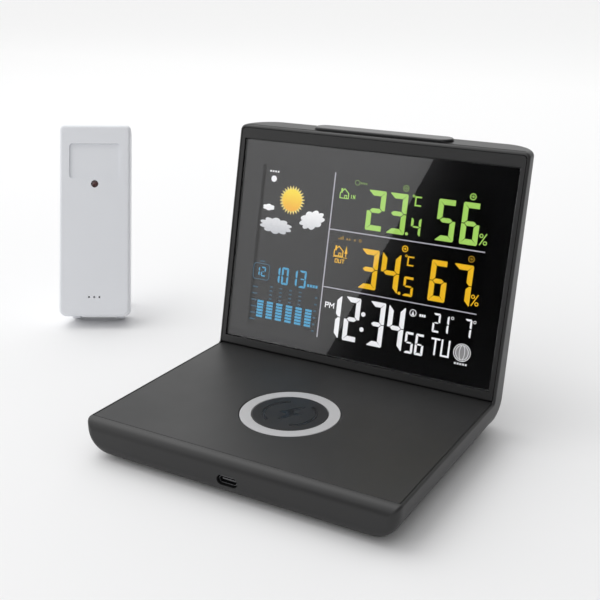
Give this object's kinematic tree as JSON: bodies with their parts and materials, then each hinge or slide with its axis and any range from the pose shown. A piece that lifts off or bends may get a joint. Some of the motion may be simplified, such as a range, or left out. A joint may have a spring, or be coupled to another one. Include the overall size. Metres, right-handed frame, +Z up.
{
  "type": "home weather station",
  "caption": "Desktop weather display whose flat base is a wireless charging pad, with a separate outdoor sensor on a fold-out stand.",
  "frame": {"origin": "centre of the whole set's footprint, on the surface that the console and the sensor stand on", "axes": "+Z up; +X to the right of a person facing the display; +Y away from that person, to the back"},
  "size_m": [0.3, 0.1834, 0.1321],
  "materials": {
    "black_plastic": "fine matt satin moulding",
    "black_satin": "smooth satin",
    "window": "glossy dark tint",
    "lcd": "lit colour segments on black",
    "light_guide": "frosted",
    "ring": "translucent frosted grey",
    "white_plastic": "fine satin moulding",
    "inner_plastic": "plain moulding",
    "board": "solder mask",
    "rubber": "matt",
    "steel": "plated",
    "copper": "enamelled copper wire",
    "ferrite": "matt",
    "cell_label": "plain printed sleeve",
    "led_lens": "clear dark red"
  },
  "bodies": {
    "console": {"housing": "black_plastic", "base_top_panel": "black_plastic", "display_frame": "black_plastic", "charging_disc": "black_satin", "display_window": "window", "lcd_panel": "lcd", "lcd_backlight": "light_guide", "charging_ring": "ring", "coil_carrier": "inner_plastic", "display_harness": "inner_plastic", "lcd_carrier": "inner_plastic", "buzzer": "inner_plastic", "indoor_probe": "inner_plastic", "power_inlet": "inner_plastic", "charger_board": "board", "snooze_switch_board": "board", "main_board": "board", "radio_module": "board", "rubber_foot_1": "rubber", "rubber_foot_2": "rubber", "rubber_foot_3": "rubber", "rubber_foot_4": "rubber", "usb_c_socket": "steel", "coin_cell": "steel", "base_screw_1": "steel", "base_screw_2": "steel", "base_screw_3": "steel", "base_screw_4": "steel", "back_screw_1": "steel", "back_screw_2": "steel", "charging_coil": "copper", "radio_antenna": "copper", "ferrite_plate": "ferrite"},
    "snooze": {"snooze_bar": "black_satin"},
    "key_1": {"rear_key_1": "black_satin"},
    "key_2": {"rear_key_2": "black_satin"},
    "key_3": {"rear_key_3": "black_satin"},
    "key_4": {"rear_key_4": "black_satin"},
    "key_5": {"rear_key_5": "black_satin"},
    "key_6": {"rear_key_6": "black_satin"},
    "coin_door": {"coin_cell_door": "black_plastic"},
    "sensor": {"sensor_front_case": "white_plastic", "sensor_back_case": "white_plastic", "sensor_cell_1": "cell_label", "sensor_cell_2": "cell_label", "contact_spring_1": "steel", "contact_spring_2": "steel", "contact_plate": "steel", "sensor_board": "board", "sensor_led_lens": "led_lens", "humidity_probe": "light_guide", "sensor_antenna": "copper", "sensor_screw_1": "steel", "sensor_screw_2": "steel"},
    "battery_door": {"sensor_battery_door": "white_plastic"},
    "stand": {"sensor_stand": "white_plastic"},
    "channel_switch": {"channel_knob": "inner_plastic"},
    "reset_button": {"reset_key": "inner_plastic"}
  },
  "joints": [
    {"name": "snooze_press", "type": "slide", "parent": "console", "child": "snooze", "axis": [0, 0, -1], "range_m": [0, 0.0012], "stiffness_N_per_m": 500, "springref_m": -0.001},
    {"name": "key_1_press", "type": "slide", "parent": "console", "child": "key_1", "axis": [0, -0.977, 0.213], "range_m": [0, 0.0006], "stiffness_N_per_m": 300, "springref_m": -0.0005},
    {"name": "key_2_press", "type": "slide", "parent": "console", "child": "key_2", "axis": [0, -0.977, 0.213], "range_m": [0, 0.0006], "stiffness_N_per_m": 300, "springref_m": -0.0005},
    {"name": "key_3_press", "type": "slide", "parent": "console", "child": "key_3", "axis": [0, -0.977, 0.213], "range_m": [0, 0.0006], "stiffness_N_per_m": 300, "springref_m": -0.0005},
    {"name": "key_4_press", "type": "slide", "parent": "console", "child": "key_4", "axis": [0, -0.977, 0.213], "range_m": [0, 0.0006], "stiffness_N_per_m": 300, "springref_m": -0.0005},
    {"name": "key_5_press", "type": "slide", "parent": "console", "child": "key_5", "axis": [0, -0.977, 0.213], "range_m": [0, 0.0006], "stiffness_N_per_m": 300, "springref_m": -0.0005},
    {"name": "key_6_press", "type": "slide", "parent": "console", "child": "key_6", "axis": [0, -0.977, 0.213], "range_m": [0, 0.0006], "stiffness_N_per_m": 300, "springref_m": -0.0005},
    {"name": "coin_door_turn", "type": "hinge", "parent": "console", "child": "coin_door", "pos_m": [0.0435, 0.04256, 0.06323], "axis": [0, 0.977, -0.213], "range_deg": [0, 45]},
    {"name": "sensor_lift", "type": "slide", "parent": "console", "child": "sensor", "axis": [0, 0, 1], "range_m": [0, 0.15]},
    {"name": "battery_door_lift", "type": "slide", "parent": "sensor", "child": "battery_door", "axis": [-0.469, 0.819, -0.3305], "range_m": [0, 0.018]},
    {"name": "stand_fold", "type": "hinge", "parent": "sensor", "child": "stand", "pos_m": [-0.12525, 0.06699, 0.04647], "axis": [0.8678, 0.497, 0], "range_deg": [-25, 0]},
    {"name": "channel_slide", "type": "slide", "parent": "sensor", "child": "channel_switch", "axis": [0.8678, 0.497, 0], "range_m": [0, 0.004]},
    {"name": "reset_press", "type": "slide", "parent": "sensor", "child": "reset_button", "axis": [0.469, -0.819, 0.3305], "range_m": [0, 0.0006], "stiffness_N_per_m": 200, "springref_m": -0.0005}
  ]
}
